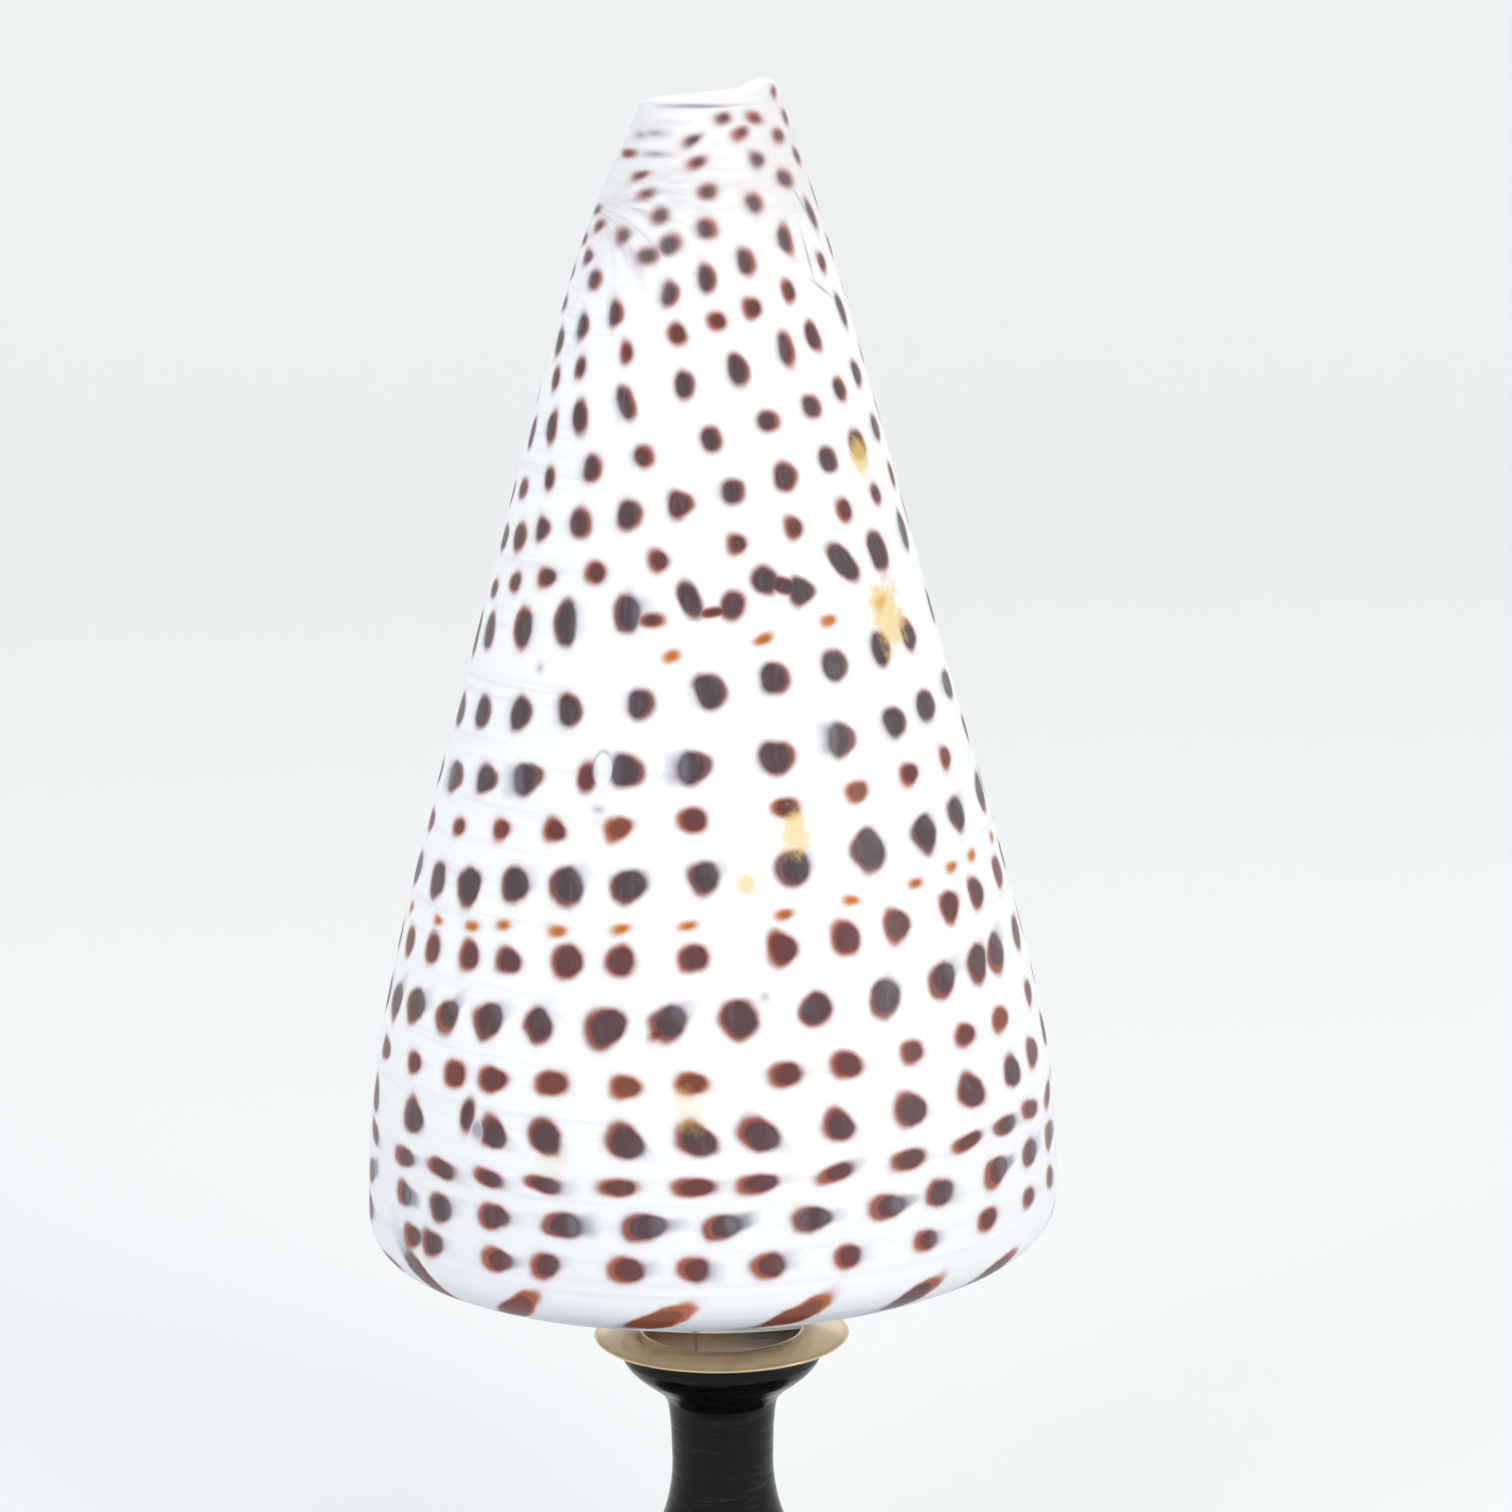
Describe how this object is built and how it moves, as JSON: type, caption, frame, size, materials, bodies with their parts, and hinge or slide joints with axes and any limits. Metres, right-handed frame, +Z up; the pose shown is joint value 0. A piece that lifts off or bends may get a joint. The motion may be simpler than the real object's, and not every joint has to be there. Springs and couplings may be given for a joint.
{
  "type": "cone shell on a turned stand",
  "caption": "Spotted cone shell standing on its spire on a brass collar and a turned black wooden pedestal with a flat foot.",
  "frame": {"origin": "centre of the pedestal's flat foot, on the surface that it stands on", "axes": "+Z up along the stand's axis, towards the shell's narrow front end; -Y towards the picture's camera, +X to its right, so the shell's mouth faces +X +Y"},
  "size_m": [0.0709, 0.0671, 0.1689],
  "materials": {
    "shell": "gloss",
    "collar": "polished",
    "pedestal": "gloss"
  },
  "bodies": {
    "root": {"cone_shell": "shell", "brass_collar": "collar", "black_pedestal": "pedestal"}
  },
  "joints": []
}
